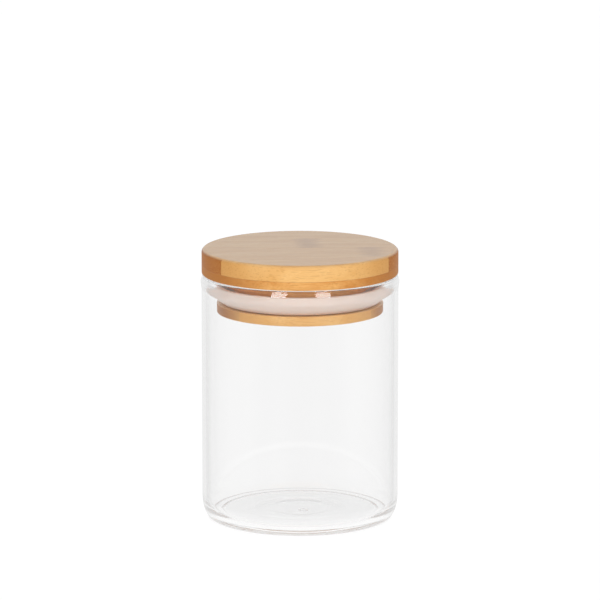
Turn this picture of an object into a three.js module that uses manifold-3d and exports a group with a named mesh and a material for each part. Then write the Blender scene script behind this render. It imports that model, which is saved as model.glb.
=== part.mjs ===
// Food canister: a clear glass jar closed by a laminated bamboo lid, whose plug carries a flared silicone ring.
// Millimetres, +Z up. The origin is the centre of the jar's footprint, and the bamboo grain runs along X.
import * as THREE from "three";
import { mergeVertices } from "three/addons/utils/BufferGeometryUtils.js";
import Module from "manifold-3d";

const wasm = await Module();
wasm.setup();

// ---- Driving dimensions ----
const RADIAL_SEGMENTS = 72;
const ARC_STEPS = 2; // a quarter ellipse becomes twice this many chords
const GAP = 0.3; // clearance between pieces that only rest on or press against each other
const GLUE_LINE = 0.1; // thickness of the glue between neighbouring bamboo pieces

const JAR_RADIUS = 50;
const JAR_WALL = 2.6;
const JAR_HEIGHT = 125.6;
const RIM_BULGE = 0.45; // how far the fire-polished rim swells past the wall
const RIM_WIDEST_DROP = 3.8; // below the rim's top
const RIM_SWELL_DROP = 8.4; // where the swelling starts, below the rim's top
const RIM_BEVEL_IN = 0.9; // above its widest point the rim leans in by this much
const RIM_BEVEL_UP = 2.9; // over this height, and then rounds over its top
const RIM_INNER_ROUND = 2.2; // height of the rounding on the inside of the rim
const BASE_CORNER_IN = 4.2; // radial size of the outer corner between wall and base
const BASE_CORNER_UP = 10.8; // and its height
const STANDING_RING_WIDTH = 4.8; // the flat ring that the jar stands on
const UNDERSIDE_LIFT = 0.5; // the base inside the standing ring clears the table by this much
const PUSH_UP_RADIUS = 20; // the shallow dome in the middle of the base
const PUSH_UP_HEIGHT = 0.6;
const PUSH_UP_SLOPE = 12; // radial width of the dome's sloping edge
const FLOOR_THICKNESS = 2.5;
const FLOOR_CORNER_IN = 5; // radial size of the inner corner between floor and wall
const FLOOR_CORNER_UP = 8; // and its height
const NUB_RADIUS = 3; // the blob where the glass was sealed by flame
const NUB_HEIGHT = 0.7;

const CAP_RADIUS = 49.9;
const CAP_TOP_PLY = 8.2;
const CAP_LOWER_PLY = 4.4;
const CAP_TOP_ROUND = 1.8;
const CAP_LOWER_ROUND = 0.6;
const LAND_RADIUS = 43; // the plug's upper land, above the seal groove
const LAND_HEIGHT = 6.2;
const GROOVE_RADIUS = 38.5; // the bottom of the seal groove
const GROOVE_HEIGHT = 8.2;
const FOOT_RADIUS = 42.2; // the plug's foot, below the seal groove
const FOOT_HEIGHT = 5;
const FOOT_ROUND = 0.6;
const STRIP_WIDTH = 26.4; // width of one bamboo strip before the disc is turned
const ODD_PLY_JOINT = -0.4; // Y of a glue joint in the first, third and fifth ply
const EVEN_PLY_JOINT = -2.6; // Y of a glue joint in the second and fourth ply

const SEAL_BAND_THICKNESS = 2.2; // the band that sits in the groove
const SEAL_LIP_RADIUS = 47.1;
const SEAL_LIP_THICKNESS = 1.2;
const SEAL_LIP_TOP = -4.2; // heights on the seal are measured from the cap's underside
const SEAL_LIP_BEND = -7.6; // below this the lip slopes inwards
const SEAL_ROOT_RADIUS = 42.3;
const SEAL_ROOT_CHAMFER_IN = 1.8;
const SEAL_ROOT_CHAMFER_UP = 1.4;
const SEAL_ROOT_TOP = -11.6; // bottom of the open channel between band and lip

const CAP_UNDERSIDE_Z = JAR_HEIGHT + GAP;

// ---- Materials ----
const glass = new THREE.MeshStandardMaterial({
  color: 0xe4ebe9,
  roughness: 0.05,
  metalness: 0,
  transparent: true,
  opacity: 0.35,
});
const silicone = new THREE.MeshStandardMaterial({ color: 0xe9dcd4, roughness: 0.55, metalness: 0 });

function bamboo(color) {
  return new THREE.MeshStandardMaterial({ color, roughness: 0.5, metalness: 0 });
}

const BAMBOO_COLOURS = {
  cap_top: [0xe8ba7d, 0xb8824f, 0xc9965f, 0xd9a86c],
  cap_lower: [0xdca25f, 0xc78c50, 0xd29a5c, 0xd6a065],
  plug_land: [0xbf8f60, 0xb58554, 0xc49666, 0xb98a5a],
  plug_groove: [0xc49563, 0xbb8b58, 0xcc9e6c, 0xb78755],
  plug_foot: [0xe0b184, 0xb98352, 0xc99565, 0xd3a273],
};

// ---- Solids ----
// A manifold-3d solid of a closed three.js geometry.
function solidOf(geometry) {
  const bare = geometry.clone();
  bare.deleteAttribute("normal");
  bare.deleteAttribute("uv");
  const merged = mergeVertices(bare, 1e-3);
  return new wasm.Manifold(
    new wasm.Mesh({
      numProp: 3,
      vertProperties: merged.attributes.position.array,
      triVerts: new Uint32Array(merged.index.array),
    }),
  );
}

// The three.js geometry of a manifold-3d solid.
function geometryOf(solid) {
  const { vertProperties, triVerts } = solid.getMesh();
  const geometry = new THREE.BufferGeometry();
  geometry.setAttribute("position", new THREE.BufferAttribute(vertProperties, 3));
  geometry.setIndex(new THREE.BufferAttribute(triVerts, 1));
  geometry.computeVertexNormals();
  return geometry;
}

// Turns a profile of radius against height about the Z axis.
function turned(profile) {
  return new THREE.LatheGeometry(profile.getPoints(ARC_STEPS), RADIAL_SEGMENTS).rotateX(Math.PI / 2);
}

// Adds a quarter ellipse to a profile, from its current point to (r, z). The tangent is level at the end
// named by levelAt, "start" or "finish", and upright at the other.
function quarterTo(profile, r, z, levelAt) {
  const from = profile.currentPoint.clone();
  const centre = levelAt === "start" ? new THREE.Vector2(from.x, z) : new THREE.Vector2(r, from.y);
  const startAngle = Math.atan2(Math.sign(from.y - centre.y), Math.sign(from.x - centre.x));
  const endAngle = Math.atan2(Math.sign(z - centre.y), Math.sign(r - centre.x));
  const turn = Math.atan2(Math.sin(endAngle - startAngle), Math.cos(endAngle - startAngle));
  profile.absellipse(
    centre.x, centre.y,
    Math.abs(r - from.x), Math.abs(z - from.y),
    startAngle, endAngle, turn < 0,
  );
}

function mesh(name, geometry, material) {
  const made = new THREE.Mesh(geometry, material);
  made.name = name;
  return made;
}

// ---- Glass jar ----
// One blown wall: the profile runs along the underside, up the outside, over the rim and down the inside.
function jarProfile() {
  const innerRadius = JAR_RADIUS - JAR_WALL;
  const ringOuter = JAR_RADIUS - BASE_CORNER_IN;
  const ringInner = ringOuter - STANDING_RING_WIDTH;
  const domeFoot = PUSH_UP_RADIUS + PUSH_UP_SLOPE / 2;
  const domeTop = PUSH_UP_RADIUS - PUSH_UP_SLOPE / 2;
  const rimRadius = JAR_RADIUS + RIM_BULGE;
  const bevelRadius = rimRadius - RIM_BEVEL_IN;
  const rimMiddle = (bevelRadius + innerRadius) / 2;
  const floorZ = UNDERSIDE_LIFT + FLOOR_THICKNESS;

  const profile = new THREE.Path();
  profile.moveTo(0, UNDERSIDE_LIFT + PUSH_UP_HEIGHT);
  profile.lineTo(domeTop, UNDERSIDE_LIFT + PUSH_UP_HEIGHT);
  profile.lineTo(domeFoot, UNDERSIDE_LIFT);
  profile.lineTo(ringInner - UNDERSIDE_LIFT, UNDERSIDE_LIFT);
  profile.lineTo(ringInner, 0);
  profile.lineTo(ringOuter, 0);
  quarterTo(profile, JAR_RADIUS, BASE_CORNER_UP, "start");
  profile.lineTo(JAR_RADIUS, JAR_HEIGHT - RIM_SWELL_DROP);
  profile.lineTo(rimRadius, JAR_HEIGHT - RIM_WIDEST_DROP);
  profile.lineTo(bevelRadius, JAR_HEIGHT - RIM_WIDEST_DROP + RIM_BEVEL_UP);
  quarterTo(profile, rimMiddle, JAR_HEIGHT, "finish");
  quarterTo(profile, innerRadius, JAR_HEIGHT - RIM_INNER_ROUND, "start");
  profile.lineTo(innerRadius, floorZ + FLOOR_CORNER_UP);
  quarterTo(profile, innerRadius - FLOOR_CORNER_IN, floorZ, "finish");
  profile.lineTo(domeFoot, floorZ);
  profile.lineTo(domeTop, floorZ + PUSH_UP_HEIGHT);
  profile.lineTo(NUB_RADIUS, floorZ + PUSH_UP_HEIGHT);
  profile.lineTo(0, floorZ + PUSH_UP_HEIGHT + NUB_HEIGHT);
  return profile;
}

// ---- Silicone ring ----
// A band stretched into the plug's groove, with a lip that flares up and out to wipe the jar's inner wall.
// Band and lip meet at the bottom, and the channel between them is open at the top.
function sealProfile() {
  const bandInner = GROOVE_RADIUS + GAP;
  const bandOuter = bandInner + SEAL_BAND_THICKNESS;
  const bandTop = -LAND_HEIGHT - GAP;
  const bandBottom = -LAND_HEIGHT - GROOVE_HEIGHT + GAP;
  const lipInner = SEAL_LIP_RADIUS - SEAL_LIP_THICKNESS;

  const profile = new THREE.Path();
  profile.moveTo(bandInner, bandBottom);
  profile.lineTo(SEAL_ROOT_RADIUS - SEAL_ROOT_CHAMFER_IN, bandBottom);
  profile.lineTo(SEAL_ROOT_RADIUS, bandBottom + SEAL_ROOT_CHAMFER_UP);
  profile.lineTo(SEAL_LIP_RADIUS, SEAL_LIP_BEND);
  profile.lineTo(SEAL_LIP_RADIUS, SEAL_LIP_TOP);
  profile.lineTo(lipInner, SEAL_LIP_TOP);
  profile.lineTo(lipInner, SEAL_LIP_BEND + SEAL_LIP_THICKNESS / 2);
  profile.lineTo(bandOuter, SEAL_ROOT_TOP);
  profile.lineTo(bandOuter, bandTop);
  profile.lineTo(bandInner, bandTop);
  profile.closePath();
  return profile;
}

// ---- Bamboo lid ----
// The disc that one ply of the lid is turned to, from height bottom to height top.
function plyDisc({ radius, bottom, top, bottomRound = 0, topRound = 0 }) {
  const profile = new THREE.Path();
  profile.moveTo(0, bottom);
  profile.lineTo(radius - bottomRound, bottom);
  if (bottomRound) quarterTo(profile, radius, bottom + bottomRound, "start");
  profile.lineTo(radius, top - topRound);
  if (topRound) quarterTo(profile, radius - topRound, top, "finish");
  profile.lineTo(0, top);
  return solidOf(turned(profile));
}

// The Y of each strip's two long edges, from the front strip to the rear one.
function stripSpans(radius, joint) {
  const outside = radius + STRIP_WIDTH;
  const stripsInFront = Math.ceil((-radius - joint) / STRIP_WIDTH);
  const joints = [];
  for (let y = joint + stripsInFront * STRIP_WIDTH; y < radius; y += STRIP_WIDTH) joints.push(y);
  const edges = [-outside, ...joints, outside];
  return edges.slice(1).map((far, i) => [edges[i] + GLUE_LINE / 2, far - GLUE_LINE / 2]);
}

const STRIP_NAMES = ["front", "mid_front", "mid_rear", "rear"];

// Saws a ply's disc along its glue joints, giving one mesh for each strip.
function plyStrips(ply) {
  const disc = plyDisc(ply);
  const spans = stripSpans(ply.radius, ply.joint);
  const reach = 4 * ply.radius;
  return spans.map(([near, far], i) => {
    const slab = new THREE.BoxGeometry(reach, far - near, reach);
    slab.translate(0, (near + far) / 2, 0);
    const name = `${ply.name}_strip_${STRIP_NAMES[i]}`;
    return mesh(name, geometryOf(disc.intersect(solidOf(slab))), bamboo(BAMBOO_COLOURS[ply.name][i]));
  });
}

// The five plies from the top down, with heights measured from the cap's underside.
function lidPlies() {
  const grooveTop = -LAND_HEIGHT;
  const grooveBottom = grooveTop - GROOVE_HEIGHT;
  const footBottom = grooveBottom - FOOT_HEIGHT;
  return [
    {
      name: "cap_top",
      radius: CAP_RADIUS,
      bottom: CAP_LOWER_PLY + GLUE_LINE / 2,
      top: CAP_LOWER_PLY + CAP_TOP_PLY,
      topRound: CAP_TOP_ROUND,
      joint: ODD_PLY_JOINT,
    },
    {
      name: "cap_lower",
      radius: CAP_RADIUS,
      bottom: 0,
      top: CAP_LOWER_PLY - GLUE_LINE / 2,
      bottomRound: CAP_LOWER_ROUND,
      joint: EVEN_PLY_JOINT,
    },
    {
      name: "plug_land",
      radius: LAND_RADIUS,
      bottom: grooveTop,
      top: -GLUE_LINE,
      joint: ODD_PLY_JOINT,
    },
    {
      name: "plug_groove",
      radius: GROOVE_RADIUS,
      bottom: grooveBottom,
      top: grooveTop - GLUE_LINE,
      joint: EVEN_PLY_JOINT,
    },
    {
      name: "plug_foot",
      radius: FOOT_RADIUS,
      bottom: footBottom,
      top: grooveBottom - GLUE_LINE,
      bottomRound: FOOT_ROUND,
      joint: ODD_PLY_JOINT,
    },
  ];
}

// ---- Assembly ----
const jar = new THREE.Group();
jar.add(mesh("glass_jar", turned(jarProfile()), glass));

const lid = new THREE.Group();
lid.position.z = CAP_UNDERSIDE_Z;
lid.add(mesh("silicone_seal_ring", turned(sealProfile()), silicone));
lidPlies().forEach((ply) => lid.add(...plyStrips(ply)));

const group = new THREE.Group();
group.name = "food_canister";
group.add(jar, lid);

export default group;
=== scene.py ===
"""The looks of the food canister: fine glass, silicone and bamboo pieces on the frame, in a white studio.

Metres, in the same frame as the CAD model: +Z up, bamboo grain along X, the front towards -Y.
"""

import math

import bmesh
import bpy
import numpy as np
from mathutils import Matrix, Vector, noise


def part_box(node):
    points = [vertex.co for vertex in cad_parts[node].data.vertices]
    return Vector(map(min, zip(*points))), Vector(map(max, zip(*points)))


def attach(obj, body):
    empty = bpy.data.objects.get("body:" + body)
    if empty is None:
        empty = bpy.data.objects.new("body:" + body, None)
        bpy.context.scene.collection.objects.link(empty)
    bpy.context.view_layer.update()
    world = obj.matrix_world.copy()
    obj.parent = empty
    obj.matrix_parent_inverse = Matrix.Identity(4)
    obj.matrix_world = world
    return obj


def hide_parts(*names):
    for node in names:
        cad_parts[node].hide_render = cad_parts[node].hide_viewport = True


MM = 0.001

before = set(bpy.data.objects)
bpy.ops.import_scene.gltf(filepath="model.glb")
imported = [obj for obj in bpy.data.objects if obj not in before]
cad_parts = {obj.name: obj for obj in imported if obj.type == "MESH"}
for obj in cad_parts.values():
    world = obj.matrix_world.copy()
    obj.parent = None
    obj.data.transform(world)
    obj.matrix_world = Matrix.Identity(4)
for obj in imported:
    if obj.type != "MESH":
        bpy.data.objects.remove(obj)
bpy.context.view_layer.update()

# ---- Sizes, from the frame where a node's box gives them ----
SEGMENTS = 256  # round every turned piece
JAR_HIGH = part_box("glass_jar")[1]
SEAL_LOW, SEAL_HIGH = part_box("silicone_seal_ring")
CAP_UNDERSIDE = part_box("cap_lower_strip_front")[0].z
LAND_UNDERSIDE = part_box("plug_land_strip_front")[0].z

RIM_RADIUS = JAR_HIGH.x
RIM_BULGE = 0.45 * MM
JAR_RADIUS = RIM_RADIUS - RIM_BULGE
WALL = 2.6 * MM
INNER_RADIUS = JAR_RADIUS - WALL
JAR_TOP = CAP_UNDERSIDE - 0.03 * MM  # the cap rests on the rim, with none of the CAD's clearance
RIM_WIDEST_Z = JAR_TOP - 4.1 * MM
RIM_SWELL_Z = JAR_TOP - 8.4 * MM
# The rim leans in above its widest point: each step's slope in degrees, and its height in mm.
RIM_BEVEL = ((14, 0.6), (18, 0.7), (21, 0.8), (25, 0.8))
RIM_BEVEL_POINTS = 4  # in each step
RIM_INNER_Z = JAR_TOP - 2.2 * MM
BASE_CORNER = (4.2 * MM, 10.8 * MM)  # radial size and height of the outer corner
FLOOR_CORNER = (5 * MM, 8 * MM)  # the same for the inner corner
STANDING_RING = 4.8 * MM  # its width
STANDING_RING_BLEND = 2 * MM  # what the slope up from its inner edge takes
UNDERSIDE_Z = 0.5 * MM
PUSH_UP = 0.6 * MM
PUSH_UP_RADIUS = 20 * MM
PUSH_UP_SLOPE = 12 * MM
FLOOR_Z = 3 * MM

NUB_AT = Vector((1.2 * MM, -6 * MM))  # where the flame sealed the tube, a little off the axis
NUB_RADIUS = 3.2 * MM
NUB_HEIGHT = 0.55 * MM
NUB_DIMPLE_REACH = 0.4  # of the nub's radius
NUB_DIMPLE_DEPTH = 0.7  # of its height
WAVINESS = 0.03 * MM

# The ring's section. IN is how far in from the lip's tip a point lies, and UP how far above the bottom.
SEAL_BAND_IN = 8.3 * MM
SEAL_BAND_WIDTH = 2.2 * MM
SEAL_LIP_WIDTH = 1.2 * MM
SEAL_ROOT_IN = 4.8 * MM
SEAL_ROOT_CUT_IN = 7.4 * MM
SEAL_ROOT_CUT_UP = 2.2 * MM
SEAL_BEND_UP = 6.5 * MM
SEAL_BEND_INNER_UP = 7.1 * MM
SEAL_POCKET_UP = 2.5 * MM
SEAL_BAND_CLEARANCE = 0.3 * MM

CAP_TOP_ROUND = 1.8 * MM
CAP_LOWER_ROUND = 0.6 * MM
FOOT_ROUND = 0.6 * MM
SLIGHT_ROUND = 0.15 * MM  # what sanding leaves on an edge that isn't shaped
GLUE_LINE = 0.1 * MM
GLUE_SEAM = 0.015 * MM  # half of what shows of a glue line between two strips
STRIPS = ("front", "mid_front", "mid_rear", "rear")


# ---- Mesh building ----
def add_object(name, mesh):
    made = bpy.data.objects.new(name, mesh)
    bpy.context.scene.collection.objects.link(made)
    return made


def smooth(mesh, sharp_from=35):
    """Smooth shading, except across edges sharper than this many degrees."""
    mesh.polygons.foreach_set("use_smooth", [True] * len(mesh.polygons))
    mesh.set_sharp_from_angle(angle=math.radians(sharp_from))


def revolve(name, profile, closed=False, segments=SEGMENTS):
    """Turns a profile of (radius, height) about Z. An open profile starts and ends on the axis."""
    rings = profile if closed else profile[1:-1]
    turn = np.linspace(0, 2 * math.pi, segments, endpoint=False)
    points = [(r * math.cos(t), r * math.sin(t), z) for r, z in rings for t in turn]
    count = len(rings)
    faces = []
    for i in range(count if closed else count - 1):
        a, b = i * segments, (i + 1) % count * segments
        for j in range(segments):
            k = (j + 1) % segments
            faces.append((a + j, a + k, b + k, b + j))
    if not closed:
        first, last = len(points), len(points) + 1
        points += [(0, 0, profile[0][1]), (0, 0, profile[-1][1])]
        top = (count - 1) * segments
        for j in range(segments):
            k = (j + 1) % segments
            faces.append((first, k, j))
            faces.append((last, top + j, top + k))
    mesh = bpy.data.meshes.new(name)
    mesh.from_pydata(points, [], faces)
    mesh.validate()
    return mesh


def ease(t):
    return t * t * (3 - 2 * t)


def line(start, end, steps):
    """Points after start up to end."""
    return [
        tuple(a + (b - a) * i / steps for a, b in zip(start, end)) for i in range(1, steps + 1)
    ]


def eased(start, end, steps):
    """An S-shaped slope between two levels, along the radius."""
    return [
        (start[0] + (end[0] - start[0]) * i / steps, start[1] + (end[1] - start[1]) * ease(i / steps))
        for i in range(1, steps + 1)
    ]


def swell(start, end, steps):
    """An S-shaped change of radius, along the height."""
    return [(r, z) for z, r in eased(start[::-1], end[::-1], steps)]


def quarter(start, end, level_first, steps=16):
    """A quarter ellipse from start to end, level where it starts if level_first, else upright there."""
    made = []
    for i in range(1, steps + 1):
        a = math.pi / 2 * i / steps
        near, far = math.sin(a), 1 - math.cos(a)
        along, up = (near, far) if level_first else (far, near)
        made.append((start[0] + (end[0] - start[0]) * along, start[1] + (end[1] - start[1]) * up))
    return made


def rounded(corners, radii, steps=6):
    """A closed outline with each corner replaced by an arc that touches both of its sides."""
    made = []
    count = len(corners)
    for i, (corner, radius) in enumerate(zip(corners, radii)):
        p = Vector(corner)
        back = (Vector(corners[i - 1]) - p).normalized()
        ahead = (Vector(corners[(i + 1) % count]) - p).normalized()
        half = back.angle(ahead) / 2
        middle = p + (back + ahead).normalized() * radius / math.sin(half)
        start = p + back * radius / math.tan(half) - middle
        sweep = math.pi - 2 * half
        side = math.copysign(1, back.x * ahead.y - back.y * ahead.x)
        for j in range(steps + 1):
            a = -side * sweep * j / steps
            turned = (
                start.x * math.cos(a) - start.y * math.sin(a),
                start.x * math.sin(a) + start.y * math.cos(a),
            )
            made.append((middle.x + turned[0], middle.y + turned[1]))
    return made


# ---- Node graphs ----
class Graph:
    """A material's nodes, built with one short call each."""

    def __init__(self, name):
        self.material = bpy.data.materials.new(name)
        self.material.use_nodes = True
        self.tree = self.material.node_tree
        self.tree.nodes.clear()
        self.output = self.node("ShaderNodeOutputMaterial")

    def node(self, kind, inputs=None, **settings):
        made = self.tree.nodes.new(kind)
        for key, value in settings.items():
            setattr(made, key, value)
        for key, value in (inputs or {}).items():
            self.feed(made.inputs[key], value)
        return made

    def feed(self, socket, value):
        if isinstance(value, bpy.types.NodeSocket):
            self.tree.links.new(value, socket)
        else:
            socket.default_value = value

    def maths(self, operation, *values, clamp=False):
        made = self.node("ShaderNodeMath", operation=operation, use_clamp=clamp)
        for i, value in enumerate(values):
            self.feed(made.inputs[i], value)
        return made.outputs[0]

    def vectors(self, operation, *values):
        made = self.node("ShaderNodeVectorMath", operation=operation)
        for i, value in enumerate(values):
            self.feed(made.inputs[i], value)
        return made.outputs[0]

    def spread(self, value, low, high, to_low=0.0, to_high=1.0):
        """value from low to high, eased into to_low to to_high."""
        made = self.node(
            "ShaderNodeMapRange",
            {0: value, 1: low, 2: high, 3: to_low, 4: to_high},
            interpolation_type="SMOOTHSTEP",
        )
        return made.outputs[0]

    def mix(self, factor, a, b, blend="MIX"):
        made = self.node("ShaderNodeMix", data_type="RGBA", blend_type=blend)
        for i, value in ((0, factor), (6, a), (7, b)):
            self.feed(made.inputs[i], value)
        return made.outputs[2]

    def noise(self, place, scale=1.0, detail=2.0, roughness=0.5):
        made = self.node(
            "ShaderNodeTexNoise",
            {"Vector": place, "Scale": scale, "Detail": detail, "Roughness": roughness},
        )
        return made.outputs[0]

    def millimetres(self, offset=(0, 0, 0)):
        """Where a point is on its piece, in millimetres."""
        place = self.node("ShaderNodeTexCoord").outputs["Object"]
        return self.node(
            "ShaderNodeVectorMath",
            {0: place, 1: (1 / MM,) * 3, 2: offset},
            operation="MULTIPLY_ADD",
        ).outputs[0]

    def bump(self, height, distance, strength=1.0):
        made = self.node(
            "ShaderNodeBump", {"Height": height, "Distance": distance, "Strength": strength}
        )
        return made.outputs[0]

    def surface(self, shader):
        """Ends the graph with this shader, and gives the finished material."""
        self.feed(self.output.inputs["Surface"], shader)
        return self.material


def linear(channel):
    """An sRGB channel from 0 to 255 as linear light from 0 to 1."""
    if channel <= 10:
        return channel / 255 / 12.92
    return ((channel / 255 + 0.055) / 1.055) ** 2.4


def colour(r, g, b):
    """A colour given as the screen shows it, from 0 to 255, as linear RGBA."""
    return (linear(r), linear(g), linear(b), 1)


# ---- Materials ----
def glass_material():
    """Clear borosilicate glass. Shadow rays and bounced light pass straight through it, so that it casts
    no dark shadow, and what it holds is lit evenly."""
    graph = Graph("borosilicate_glass")
    place = graph.millimetres()
    drawn = graph.vectors("MULTIPLY", place, (0.05, 0.05, 0.012))
    wave = graph.noise(drawn, detail=1.0)
    film = graph.noise(place, scale=0.09, detail=3.0)
    glass = graph.node(
        "ShaderNodeBsdfPrincipled",
        {
            "Base Color": graph.mix(wave, colour(253, 253, 253), colour(251, 251, 251)),
            "Roughness": graph.spread(film, 0.55, 0.8, 0.0, 0.03),
            "IOR": 1.47,
            "Transmission Weight": 1.0,
            "Normal": graph.bump(wave, 0.02 * MM),
        },
    )
    clear = graph.node("ShaderNodeBsdfTransparent", {"Color": colour(252, 252, 252)})
    path = graph.node("ShaderNodeLightPath").outputs
    bounced = graph.node(
        "ShaderNodeMixShader", {0: path["Is Diffuse Ray"], 1: glass.outputs[0], 2: clear.outputs[0]}
    )
    lit = graph.node(
        "ShaderNodeMixShader", {0: path["Is Shadow Ray"], 1: bounced.outputs[0], 2: clear.outputs[0]}
    )
    return graph.surface(lit.outputs[0])


def silicone_material():
    """Translucent off-white silicone: a soft milky body with a satin surface and faint moulding haze."""
    graph = Graph("milky_silicone")
    place = graph.millimetres()
    cloud = graph.noise(place, scale=0.12, detail=3.0)
    grain = graph.noise(place, scale=6.0, detail=2.0)
    body = graph.mix(cloud, colour(222, 204, 193), colour(228, 212, 202))
    silicone = graph.node(
        "ShaderNodeBsdfPrincipled",
        {
            "Base Color": body,
            "Roughness": graph.spread(cloud, 0.3, 0.7, 0.38, 0.5),
            "IOR": 1.41,
            "Subsurface Weight": 0.6,
            "Subsurface Radius": (1.0, 0.8, 0.7),
            "Subsurface Scale": 1.6 * MM,
            "Normal": graph.bump(grain, 0.01 * MM),
        },
    )
    return graph.surface(silicone.outputs[0])


# The bamboo's grain. Lengths are in mm.
FIBRE_WANDER = 2.4
FIBRE_STRETCH = 0.022  # how much slower the grain changes along a strip than across it
BUNDLE_EDGE = (0.16, 0.46)  # where a bundle starts to fade and where it ends, as shares of the pitch
KNUCKLE_RAGGED = 9.0
KNUCKLE_EDGE = (5.0, 14.0)  # where a knuckle starts to fade and where it ends, from its middle


def bamboo_material(name, look, offset):
    """Bamboo as a solid: vascular bundles run along X as fine streaks, and end on the sides as dots."""
    graph = Graph(name)
    place = graph.millimetres(offset)
    here = graph.node("ShaderNodeSeparateXYZ", {0: graph.millimetres()}).outputs

    # Fibres wander a little across the strip on their way along it.
    slow = graph.vectors("MULTIPLY", place, (0.02, 0.07, 0.07))
    wander = graph.node("ShaderNodeTexNoise", {"Vector": slow, "Detail": 2.0}).outputs["Color"]
    centred = graph.vectors("SUBTRACT", wander, (0.5, 0.5, 0.5))
    aside = graph.vectors("MULTIPLY", centred, (0, FIBRE_WANDER, FIBRE_WANDER))
    fibre = graph.vectors("MULTIPLY", graph.vectors("ADD", place, aside), (FIBRE_STRETCH, 1, 1))

    bundles = graph.node(
        "ShaderNodeTexVoronoi",
        {"Vector": fibre, "Scale": 1 / look["bundle_pitch"], "Randomness": 0.95},
        feature="F1",
    ).outputs["Distance"]
    bundle = graph.spread(bundles, *BUNDLE_EDGE, 1.0, 0.0)
    fine = graph.noise(fibre, scale=3.2, detail=3.0, roughness=0.6)
    broad = graph.noise(graph.vectors("MULTIPLY", fibre, (1.0, 0.16, 0.16)), detail=2.0)

    # A knuckle is a slightly darker band across the strip, with ragged edges.
    ragged = graph.noise(graph.vectors("MULTIPLY", place, (0.12, 0.3, 0.3)), detail=3.0)
    from_node = graph.maths("SUBTRACT", here["X"], look["node_x"])
    frayed = graph.maths("MULTIPLY", ragged, KNUCKLE_RAGGED)
    reach = graph.maths("ADD", graph.maths("ABSOLUTE", from_node), frayed)
    knuckle = graph.spread(reach, *KNUCKLE_EDGE, look["node_depth"], 0.0)

    # The cut ends take up oil differently from the long grain, so a surface changes as it turns towards X.
    # On the plug land strips this end colour is painted light, and on the foot's middle strips painted
    # shade.
    normal = graph.node("ShaderNodeTexCoord").outputs["Normal"]
    facing = graph.node("ShaderNodeSeparateXYZ", {0: normal}).outputs
    towards_x = graph.maths("ABSOLUTE", facing["X"])
    end = graph.spread(towards_x, look["end_from"], look["end_to"])

    ground = graph.mix(graph.spread(broad, 0.3, 0.7), look["pale"], look["deep"])
    ground = graph.mix(end, ground, look["end"])
    streaked = graph.mix(graph.spread(fine, 0.35, 0.75, 0.0, 0.7), ground, look["deep"])
    dotted = graph.mix(graph.maths("MULTIPLY", bundle, look["bundle_depth"]), streaked, look["bundle"])
    shaded = graph.mix(knuckle, dotted, look["knuckle"])

    # Lacquer lies thick on the flat faces, and soaks into the turned sides.
    upright = graph.maths("ABSOLUTE", facing["Z"])
    lacquer = graph.spread(upright, 0.3, 0.9)
    relief = graph.maths("ADD", graph.maths("MULTIPLY", bundle, -0.6), fine)
    bamboo = graph.node(
        "ShaderNodeBsdfPrincipled",
        {
            "Base Color": shaded,
            "Roughness": graph.spread(fine, 0.3, 0.8, 0.42, 0.58),
            "IOR": 1.5,
            "Specular IOR Level": graph.spread(upright, 0.3, 0.9, 0.08, 0.35),
            "Coat Weight": lacquer,
            "Coat Roughness": 0.27,
            "Normal": graph.bump(relief, 0.03 * MM, 0.6),
        },
    )
    return graph.surface(bamboo.outputs[0])


PALE_BAMBOO = {
    "pale": colour(234, 188, 124),
    "deep": colour(224, 170, 102),
    "end": colour(214, 158, 92),
    "bundle": colour(176, 112, 54),
    "knuckle": colour(176, 126, 76),
    "bundle_pitch": 0.85,
    "bundle_depth": 0.24,
    "node_x": 120.0,  # beyond the lid, so most strips show no knuckle
    "node_depth": 0.0,
    "end_from": 0.35,
    "end_to": 0.85,
}
DARK_ENDS = {**PALE_BAMBOO, "end": colour(164, 90, 34)}
HONEY_BAMBOO = {
    **PALE_BAMBOO,
    "pale": colour(228, 174, 106),
    "deep": colour(204, 136, 68),
    "end": colour(182, 120, 64),
    "bundle": colour(158, 92, 42),
}
# Painted light: lighter ends for the plug land strips, which the cap's overhang shades from the lamps.
PAINTED_LIGHT_ENDS = {"end": colour(240, 158, 74)}
# Painted shade: the foot's middle strips turn dark brown as their surface turns towards X.
PAINTED_SHADE_ENDS = {"end": colour(150, 86, 38), "end_from": 0.6, "end_to": 0.96}


def looks():
    """Each strip's bamboo: its colours, and where its knuckle lies along X."""
    made = {}
    for ply in ("cap_top", "cap_lower", "plug_land", "plug_groove", "plug_foot"):
        base = {"cap_top": PALE_BAMBOO, "plug_foot": PALE_BAMBOO}.get(ply, HONEY_BAMBOO)
        for strip in STRIPS:
            made[f"{ply}_strip_{strip}"] = dict(base)
    made["cap_top_strip_mid_front"] = {**DARK_ENDS, "node_x": 35.0, "node_depth": 0.5}
    made["cap_top_strip_mid_rear"] = {**DARK_ENDS, "node_x": 5.0, "node_depth": 0.6}
    # Painted shade on the foot's middle strips' ends.
    made["plug_foot_strip_mid_front"].update(PAINTED_SHADE_ENDS)
    made["plug_foot_strip_mid_rear"].update(PAINTED_SHADE_ENDS)
    # Painted light on the land strips' ends.
    for strip in STRIPS:
        made[f"plug_land_strip_{strip}"].update(PAINTED_LIGHT_ENDS)
    return made


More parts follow.
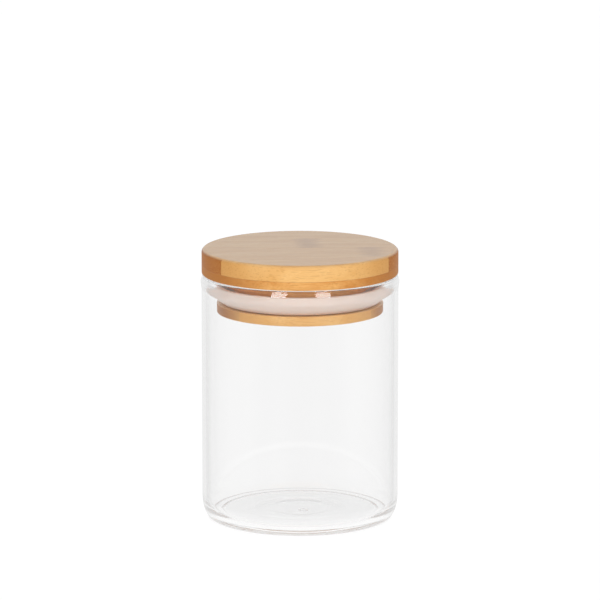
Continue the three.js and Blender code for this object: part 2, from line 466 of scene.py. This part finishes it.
# ---- Glass jar ----
def jar_outline():
    """Along the underside, up the outside, over the rim, down the inside and along the floor."""
    ring_outer = JAR_RADIUS - BASE_CORNER[0]
    ring_inner = ring_outer - STANDING_RING
    dome_foot = PUSH_UP_RADIUS + PUSH_UP_SLOPE / 2
    dome_top = PUSH_UP_RADIUS - PUSH_UP_SLOPE / 2
    floor_corner = (INNER_RADIUS - FLOOR_CORNER[0], FLOOR_Z)

    points = [(0, UNDERSIDE_Z + PUSH_UP)]
    points += line(points[-1], (dome_top, UNDERSIDE_Z + PUSH_UP), 12)
    points += eased(points[-1], (dome_foot, UNDERSIDE_Z), 12)
    points += line(points[-1], (ring_inner - STANDING_RING_BLEND, UNDERSIDE_Z), 8)
    points += eased(points[-1], (ring_inner, 0), 8)
    points += line(points[-1], (ring_outer, 0), 6)
    points += quarter(points[-1], (JAR_RADIUS, BASE_CORNER[1]), True, 24)
    points += line(points[-1], (JAR_RADIUS, RIM_SWELL_Z), 24)
    points += swell(points[-1], (RIM_RADIUS, RIM_WIDEST_Z), 10)
    slope_before = 0
    for slope, rise in RIM_BEVEL:
        for _ in range(RIM_BEVEL_POINTS):
            upward = rise * MM / RIM_BEVEL_POINTS
            inward = math.tan(math.radians((slope_before + slope) / 2)) * upward
            points.append((points[-1][0] - inward, points[-1][1] + upward))
        slope_before = slope
    rim_middle = (points[-1][0] + INNER_RADIUS) / 2
    points += quarter(points[-1], (rim_middle, JAR_TOP), False, 10)
    points += quarter(points[-1], (INNER_RADIUS, RIM_INNER_Z), True, 12)
    points += line(points[-1], (INNER_RADIUS, FLOOR_Z + FLOOR_CORNER[1]), 24)
    points += quarter(points[-1], floor_corner, False, 24)
    points += line(points[-1], (dome_foot, FLOOR_Z), 30)
    points += eased(points[-1], (dome_top, FLOOR_Z + PUSH_UP), 12)
    points += line(points[-1], (0, FLOOR_Z + PUSH_UP), 40)
    return points


def nub_height(x, y):
    """The flame-sealed blob on the inner floor: a low dome with a dimple."""
    away = (Vector((x, y)) - NUB_AT).length / NUB_RADIUS
    if away >= 1:
        return 0.0
    dome = ease(1 - away)
    dimple = ease(max(0.0, 1 - away / NUB_DIMPLE_REACH))
    return NUB_HEIGHT * (dome - NUB_DIMPLE_DEPTH * dimple)


def waviness(point):
    """Glass that was blown and not ground is never quite true."""
    return WAVINESS * noise.noise(Vector((point.x * 30, point.y * 30, point.z * 9)))


def make_jar():
    """The inner wall waves a little, always inwards, and the inner floor carries the nub."""
    mesh = revolve("jar_glass", jar_outline())
    for vertex in mesh.vertices:
        point = vertex.co
        radius = math.hypot(point.x, point.y)
        inside = radius < INNER_RADIUS + 0.1 * MM and point.z > FLOOR_Z - 0.1 * MM
        if not inside:
            continue
        if point.z > FLOOR_Z + FLOOR_CORNER[1] and point.z < RIM_INNER_Z:
            scale = 1 - abs(waviness(point)) / radius
            vertex.co.x *= scale
            vertex.co.y *= scale
        elif radius < PUSH_UP_RADIUS:
            vertex.co.z += nub_height(point.x, point.y)
    smooth(mesh)
    made = add_object("jar_glass", mesh)
    mesh.materials.append(glass_material())
    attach(made, "jar")
    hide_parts("glass_jar")
    return made


# ---- Silicone ring ----
def make_seal():
    """The ring's section: a band in the groove, and a lip that flares out and turns up against the glass."""
    lip_outer = SEAL_HIGH.x
    lip_inner = lip_outer - SEAL_LIP_WIDTH
    band_inner = lip_outer - SEAL_BAND_IN
    band_outer = band_inner + SEAL_BAND_WIDTH
    bottom, top = SEAL_LOW.z, SEAL_HIGH.z
    band_top = LAND_UNDERSIDE - SEAL_BAND_CLEARANCE
    corners = {  # each with its rounding radius in mm
        (band_inner, bottom): 0.3,
        (lip_outer - SEAL_ROOT_CUT_IN, bottom): 0.5,
        (lip_outer - SEAL_ROOT_IN, bottom + SEAL_ROOT_CUT_UP): 2.4,
        (lip_outer, bottom + SEAL_BEND_UP): 4.5,
        (lip_outer, top): 0.5,
        (lip_inner, top): 0.4,
        (lip_inner, bottom + SEAL_BEND_INNER_UP): 3.2,
        (band_outer, bottom + SEAL_POCKET_UP): 0.5,
        (band_outer, band_top): 0.4,
        (band_inner, band_top): 0.4,
    }
    section = rounded(list(corners), [radius * MM for radius in corners.values()])
    mesh = revolve("seal_silicone", section, closed=True)
    smooth(mesh)
    made = add_object("seal_silicone", mesh)
    mesh.materials.append(silicone_material())
    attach(made, "seal")
    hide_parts("silicone_seal_ring")
    return made


# ---- Bamboo lid ----
def ply_disc(radius, low, high, low_round, high_round):
    """A bmesh of one ply's turned disc, with a flat face at each end."""
    flat = 0.5 * MM  # a flat margin that keeps the round edge's shading off the flat faces
    outline = [(radius - low_round - flat, low), (radius - low_round, low)]
    outline += quarter(outline[-1], (radius, low + low_round), True, 8)
    outline += line(outline[-1], (radius, high - high_round), 2)
    outline += quarter(outline[-1], (radius - high_round, high), False, 8)
    outline += line(outline[-1], (radius - high_round - flat, high), 1)
    turn = np.linspace(0, 2 * math.pi, SEGMENTS, endpoint=False)
    made = bmesh.new()
    rings = [[made.verts.new((r * math.cos(t), r * math.sin(t), z)) for t in turn] for r, z in outline]
    for lower, upper in zip(rings, rings[1:]):
        for j in range(SEGMENTS):
            k = (j + 1) % SEGMENTS
            made.faces.new((lower[j], lower[k], upper[k], upper[j]))
    made.faces.new(rings[0][::-1])
    made.faces.new(rings[-1])
    return made


def saw(disc, y, keep):
    """Cuts a bmesh at this Y, keeps the side that keep (1 or -1) points to, and closes the cut."""
    geometry = disc.verts[:] + disc.edges[:] + disc.faces[:]
    cut = bmesh.ops.bisect_plane(
        disc, geom=geometry, plane_co=(0, y, 0), plane_no=(0, -keep, 0), clear_outer=True
    )
    edges = [e for e in cut["geom_cut"] if isinstance(e, bmesh.types.BMEdge)]
    bmesh.ops.contextual_create(disc, geom=edges)


def make_strip(node, index, look):
    """The fine version of one bamboo strip, sawn from its ply's disc at the CAD node's own edges."""
    ply, _, strip = node.partition("_strip_")
    ply_nodes = [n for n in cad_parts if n.startswith(ply + "_strip_")]
    radius = max(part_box(n)[1].x for n in ply_nodes)
    low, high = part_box(node)
    low, high = Vector(low), Vector(high)
    seam = GLUE_LINE / 2 - GLUE_SEAM
    low.y -= seam
    high.y += seam
    if ply == "cap_top":
        low.z -= seam
    if ply == "cap_lower":
        high.z += seam
    low_round = {"cap_lower": CAP_LOWER_ROUND, "plug_foot": FOOT_ROUND}.get(ply, SLIGHT_ROUND)
    high_round = {"cap_top": CAP_TOP_ROUND}.get(ply, SLIGHT_ROUND)
    disc = ply_disc(radius, low.z, high.z, low_round, high_round)
    if strip != "front":
        saw(disc, low.y, 1)
    if strip != "rear":
        saw(disc, high.y, -1)
    name = node.replace("_strip_", "_bamboo_")
    mesh = bpy.data.meshes.new(name)
    disc.to_mesh(mesh)
    disc.free()
    smooth(mesh)
    made = add_object(name, mesh)
    offset = (index * 61.0, index * 17.3, index * 29.1)  # each strip shows another piece of bamboo
    mesh.materials.append(bamboo_material("bamboo_" + node, look, offset))
    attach(made, "lid")
    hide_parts(node)
    return made


def make_lid():
    strip_looks = looks()
    nodes = sorted(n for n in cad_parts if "_strip_" in n)
    for index, node in enumerate(nodes):
        make_strip(node, index, strip_looks[node])


# ---- Studio ----
CAMERA_TURN = math.radians(-5.4)  # the camera stands a little to the left of the bamboo's square front
TOWARDS_CAMERA = Vector((math.sin(CAMERA_TURN), -math.cos(CAMERA_TURN), 0))
TO_THE_RIGHT = Vector((math.cos(CAMERA_TURN), math.sin(CAMERA_TURN), 0))
CAMERA_DISTANCE = 2.078
CAMERA_HEIGHT = 0.5263
CAMERA_PITCH = math.radians(11.287)
CAMERA_LENS = 250.3

# How bright the white studio is: as it is seen, in reflections, and as diffuse light.
WHITE = 1.02  # the backdrop as the camera sees it
TABLE_LIGHT = 0.95
FRONT_LIGHT = 0.45
SIDE_LIGHT = 0.68
BACKDROP_LIGHT = 0.8
AMBIENT_LIGHT = 0.25

CONTACT_RADIUS = JAR_RADIUS - BASE_CORNER[0]
CONTACT_REACH = 2.2 * MM
CONTACT_SHADE = 0.8  # what is left of the table's light where the jar touches it
TABLE_REACH = 2.0

LAMP_AIM = Vector((0, 0, 0.12))  # inside the lid's plug
LAMP_DISTANCE = 1.3
SOFTBOX_HEIGHT = 0.6
SOFTBOX_SIZE = (0.6, 0.9)
SOFTBOXES = (("left", -32, 8.1), ("right", 34, 8.8))  # name, turn in degrees, power in watts
HIGHLIGHT_HEIGHT = 0.79
HIGHLIGHT_SIZE = (0.42, 0.6)
HIGHLIGHTS = (("left", -25.5), ("right", 27.7))  # name, turn in degrees
HIGHLIGHT_ON_FRONT = 13  # brightness; a lamp's power is this times pi times its area
HIGHLIGHT_INSIDE = 1.5

# Light that enters the rim is led down inside the glass wall, from side to side, and leaves at the base.
MAX_BOUNCES = 128
TRANSMISSION_BOUNCES = 32
GLOSSY_BOUNCES = 112


def make_camera():
    camera = bpy.data.objects.new("camera", bpy.data.cameras.new("camera"))
    bpy.context.scene.collection.objects.link(camera)
    camera.location = TOWARDS_CAMERA * CAMERA_DISTANCE + Vector((0, 0, CAMERA_HEIGHT))
    look = -TOWARDS_CAMERA * math.cos(CAMERA_PITCH) - Vector((0, 0, math.sin(CAMERA_PITCH)))
    camera.rotation_euler = look.to_track_quat("-Z", "Y").to_euler()
    camera.data.sensor_width = 36
    camera.data.lens = CAMERA_LENS
    camera.data.clip_start, camera.data.clip_end = 0.1, 50
    bpy.context.scene.camera = camera


def seen_directly(graph):
    """1 for what the camera sees straight or through glass, 0 after a reflection or a diffuse bounce."""
    path = graph.node("ShaderNodeLightPath").outputs
    bounces = graph.maths("ADD", path["Glossy Depth"], path["Diffuse Depth"], clamp=True)
    return graph.maths("SUBTRACT", 1.0, bounces)


def reflected_light(graph, behind):
    """What reflections see, by how far they point away from the camera: the dim front of the room,
    its lighter sides, and the bright backdrop behind."""
    front = graph.spread(behind, -0.9, -0.3, FRONT_LIGHT, SIDE_LIGHT)
    back = graph.spread(behind, 0.4, 0.9, 0.0, BACKDROP_LIGHT)
    return graph.maths("MAXIMUM", front, back)


def pointing_behind(graph, way):
    return graph.node(
        "ShaderNodeVectorMath", {0: way, 1: -TOWARDS_CAMERA}, operation="DOT_PRODUCT"
    ).outputs["Value"]


def contact_shade(graph):
    """Little light gets under the rounded corner where the jar meets the table: the share that does,
    which is 1 away from there."""
    place = graph.node("ShaderNodeTexCoord").outputs["Object"]
    radius = graph.node("ShaderNodeVectorMath", {0: place}, operation="LENGTH").outputs["Value"]
    away = graph.maths("ABSOLUTE", graph.maths("SUBTRACT", radius, CONTACT_RADIUS))
    return graph.spread(away, 0.0, CONTACT_REACH, CONTACT_SHADE, 1.0)


def floor_material():
    """A white light table. In reflections it looks like the room that lies in the same direction."""
    graph = Graph("white_table")
    place = graph.millimetres()
    grain = graph.noise(place, scale=0.4, detail=3.0)
    incoming = graph.node("ShaderNodeNewGeometry").outputs["Incoming"]
    behind = graph.maths("MULTIPLY", pointing_behind(graph, incoming), -1.0)
    steepness = graph.node("ShaderNodeSeparateXYZ", {0: incoming}).outputs["Z"]
    beyond = reflected_light(graph, behind)
    reflected = graph.maths("MAXIMUM", beyond, graph.spread(steepness, 0.25, 0.45, 0.0, TABLE_LIGHT))
    seen = graph.maths("MULTIPLY", contact_shade(graph), TABLE_LIGHT)
    glow = graph.node("ShaderNodeMix", {0: seen_directly(graph), 2: reflected, 3: seen}).outputs[0]
    paint = graph.node(
        "ShaderNodeBsdfPrincipled",
        {
            "Base Color": graph.mix(grain, colour(74, 74, 74), colour(70, 70, 70)),
            "Roughness": graph.spread(grain, 0.2, 0.8, 0.5, 0.6),
            "Specular IOR Level": 0.05,
            "Emission Color": colour(255, 255, 255),
            "Emission Strength": glow,
        },
    )
    return graph.surface(paint.outputs[0])


def make_floor():
    """The table reaches past everything the camera sees."""
    corners = [
        (TO_THE_RIGHT * x + TOWARDS_CAMERA * y) * TABLE_REACH
        for x, y in ((-1, 1), (1, 1), (1, -1), (-1, -1))
    ]
    mesh = bpy.data.meshes.new("table")
    mesh.from_pydata(corners, [], [(0, 1, 2, 3)])
    made = add_object("table", mesh)
    mesh.materials.append(floor_material())


class WorldGraph(Graph):
    """The same short calls for the world's nodes."""

    def __init__(self, name):
        world = bpy.data.worlds.new(name)
        bpy.context.scene.world = world
        world.use_nodes = True
        self.tree = world.node_tree
        self.tree.nodes.clear()
        self.output = self.node("ShaderNodeOutputWorld")


def make_world():
    """White behind everything that is seen directly or through glass. Reflections see a bright backdrop
    behind the jar and above it, and a dimmer room in front. Diffuse light comes mostly from the backdrop."""
    graph = WorldGraph("studio")
    way = graph.node("ShaderNodeTexCoord").outputs["Generated"]
    behind = pointing_behind(graph, way)
    height = graph.node("ShaderNodeSeparateXYZ", {0: way}).outputs["Z"]
    reflected = reflected_light(graph, graph.maths("MULTIPLY_ADD", height, 0.5, behind))
    backdrop = graph.maths("MULTIPLY", graph.spread(behind, 0.0, 0.8), graph.spread(height, 0.65, 0.35))
    diffuse = graph.spread(backdrop, 0.0, 1.0, AMBIENT_LIGHT, BACKDROP_LIGHT)
    path = graph.node("ShaderNodeLightPath").outputs
    is_diffuse = graph.maths("MINIMUM", path["Diffuse Depth"], 1.0)
    indirect = graph.node("ShaderNodeMix", {0: is_diffuse, 2: reflected, 3: diffuse}).outputs[0]
    strength = graph.node("ShaderNodeMix", {0: seen_directly(graph), 2: indirect, 3: WHITE}).outputs[0]
    background = graph.node("ShaderNodeBackground", {"Color": (1, 1, 1, 1), "Strength": strength})
    graph.feed(graph.output.inputs["Surface"], background.outputs[0])
    # Only rays that leave a surface sample this world, as what it gives depends on the ray's past.
    bpy.context.scene.world.cycles.sampling_method = "NONE"


def add_lamp(name, turn, height, size, power):
    """An area lamp aimed at the lid. turn is its angle from the camera, to the right, in degrees."""
    lamp = bpy.data.lights.new(name, "AREA")
    lamp.shape = "RECTANGLE"
    lamp.size, lamp.size_y = size
    lamp.energy = power
    made = bpy.data.objects.new(name, lamp)
    bpy.context.scene.collection.objects.link(made)
    a = math.radians(turn)
    flat = TOWARDS_CAMERA * math.cos(a) + TO_THE_RIGHT * math.sin(a)
    made.location = flat * LAMP_DISTANCE + Vector((0, 0, height))
    aim = LAMP_AIM - made.location
    made.rotation_euler = aim.to_track_quat("-Z", "Y").to_euler()
    made.visible_camera = False
    return made


def make_lights():
    """Two big softboxes light the canister. Two smaller ones put highlights on the front of its glass,
    and two faint ones put them on the inside."""
    for name, turn, power in SOFTBOXES:
        softbox = add_lamp("softbox_" + name, turn, SOFTBOX_HEIGHT, SOFTBOX_SIZE, power)
        softbox.visible_glossy = False
        softbox.visible_transmission = False
    unit_power = math.pi * HIGHLIGHT_SIZE[0] * HIGHLIGHT_SIZE[1]
    for name, turn in HIGHLIGHTS:
        placed = (turn, HIGHLIGHT_HEIGHT, HIGHLIGHT_SIZE)
        front = add_lamp("highlight_" + name, *placed, HIGHLIGHT_ON_FRONT * unit_power)
        front.visible_transmission = False
        front.visible_diffuse = False
        inside = add_lamp("highlight_inside_" + name, *placed, HIGHLIGHT_INSIDE * unit_power)
        inside.visible_glossy = False
        inside.visible_diffuse = False


def set_up_render():
    scene = bpy.context.scene
    scene.view_settings.view_transform = "Standard"
    scene.view_settings.look = "None"
    scene.cycles.use_denoising = True
    scene.cycles.max_bounces = MAX_BOUNCES
    scene.cycles.transmission_bounces = TRANSMISSION_BOUNCES
    scene.cycles.glossy_bounces = GLOSSY_BOUNCES


make_jar()
make_seal()
make_lid()
make_floor()
make_world()
make_lights()
make_camera()
set_up_render()
